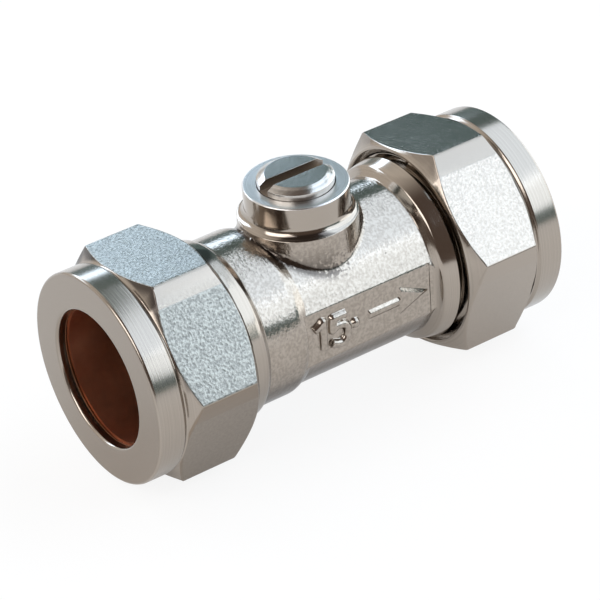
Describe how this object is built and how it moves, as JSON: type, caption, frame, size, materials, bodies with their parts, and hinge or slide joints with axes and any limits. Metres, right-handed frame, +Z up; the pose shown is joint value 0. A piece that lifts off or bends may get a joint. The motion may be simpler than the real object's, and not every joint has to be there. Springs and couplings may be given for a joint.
{
  "type": "isolating valve",
  "caption": "Straight isolating valve for copper pipe: a plated brass ball valve with a slotted stem and a compression nut at each end.",
  "frame": {"origin": "under the crossing of the pipe's axis and the stem's axis, on the surface that the nuts lie on", "axes": "+X along the pipe in the direction of flow, +Z up along the stem"},
  "size_m": [0.0524, 0.0264, 0.0273],
  "materials": {
    "plated_body": "satin",
    "plated_nut": "satin",
    "plated_stem": "satin",
    "plated_ball": "polished",
    "bare_brass": "satin",
    "copper": "satin",
    "white_seal": "satin",
    "black_rubber": "matte"
  },
  "bodies": {
    "body": {"valve_body": "plated_body", "inlet_seat": "white_seal", "outlet_seat": "white_seal", "seat_retainer": "bare_brass", "stem_washer": "white_seal"},
    "stem": {"stem": "plated_stem", "ball": "plated_ball", "lower_o_ring": "black_rubber", "upper_o_ring": "black_rubber"},
    "inlet_olive": {"inlet_olive": "copper"},
    "inlet_nut": {"inlet_nut": "plated_nut"},
    "outlet_olive": {"outlet_olive": "copper"},
    "outlet_nut": {"outlet_nut": "plated_nut"}
  },
  "joints": [
    {"name": "stem_turn", "type": "hinge", "parent": "body", "child": "stem", "pos_m": [0, 0, 0.01257], "axis": [0, 0, 1], "continuous": true},
    {"name": "inlet_nut_travel", "type": "slide", "parent": "body", "child": "inlet_olive", "axis": [-1, 0, 0], "range_m": [0, 0.00455]},
    {"name": "inlet_nut_turn", "type": "hinge", "parent": "inlet_olive", "child": "inlet_nut", "pos_m": [-0.02622, 0, 0.01257], "axis": [-1, 0, 0], "range_deg": [0, 900]},
    {"name": "outlet_nut_travel", "type": "slide", "parent": "body", "child": "outlet_olive", "axis": [1, 0, 0], "range_m": [0, 0.00455]},
    {"name": "outlet_nut_turn", "type": "hinge", "parent": "outlet_olive", "child": "outlet_nut", "pos_m": [0.02622, 0, 0.01257], "axis": [1, 0, 0], "range_deg": [0, 900]}
  ],
  "couplings": [
    {"joint": "inlet_nut_travel", "follows": "inlet_nut_turn", "m_per_rad": 0.00028871},
    {"joint": "outlet_nut_travel", "follows": "outlet_nut_turn", "m_per_rad": 0.00028871}
  ]
}
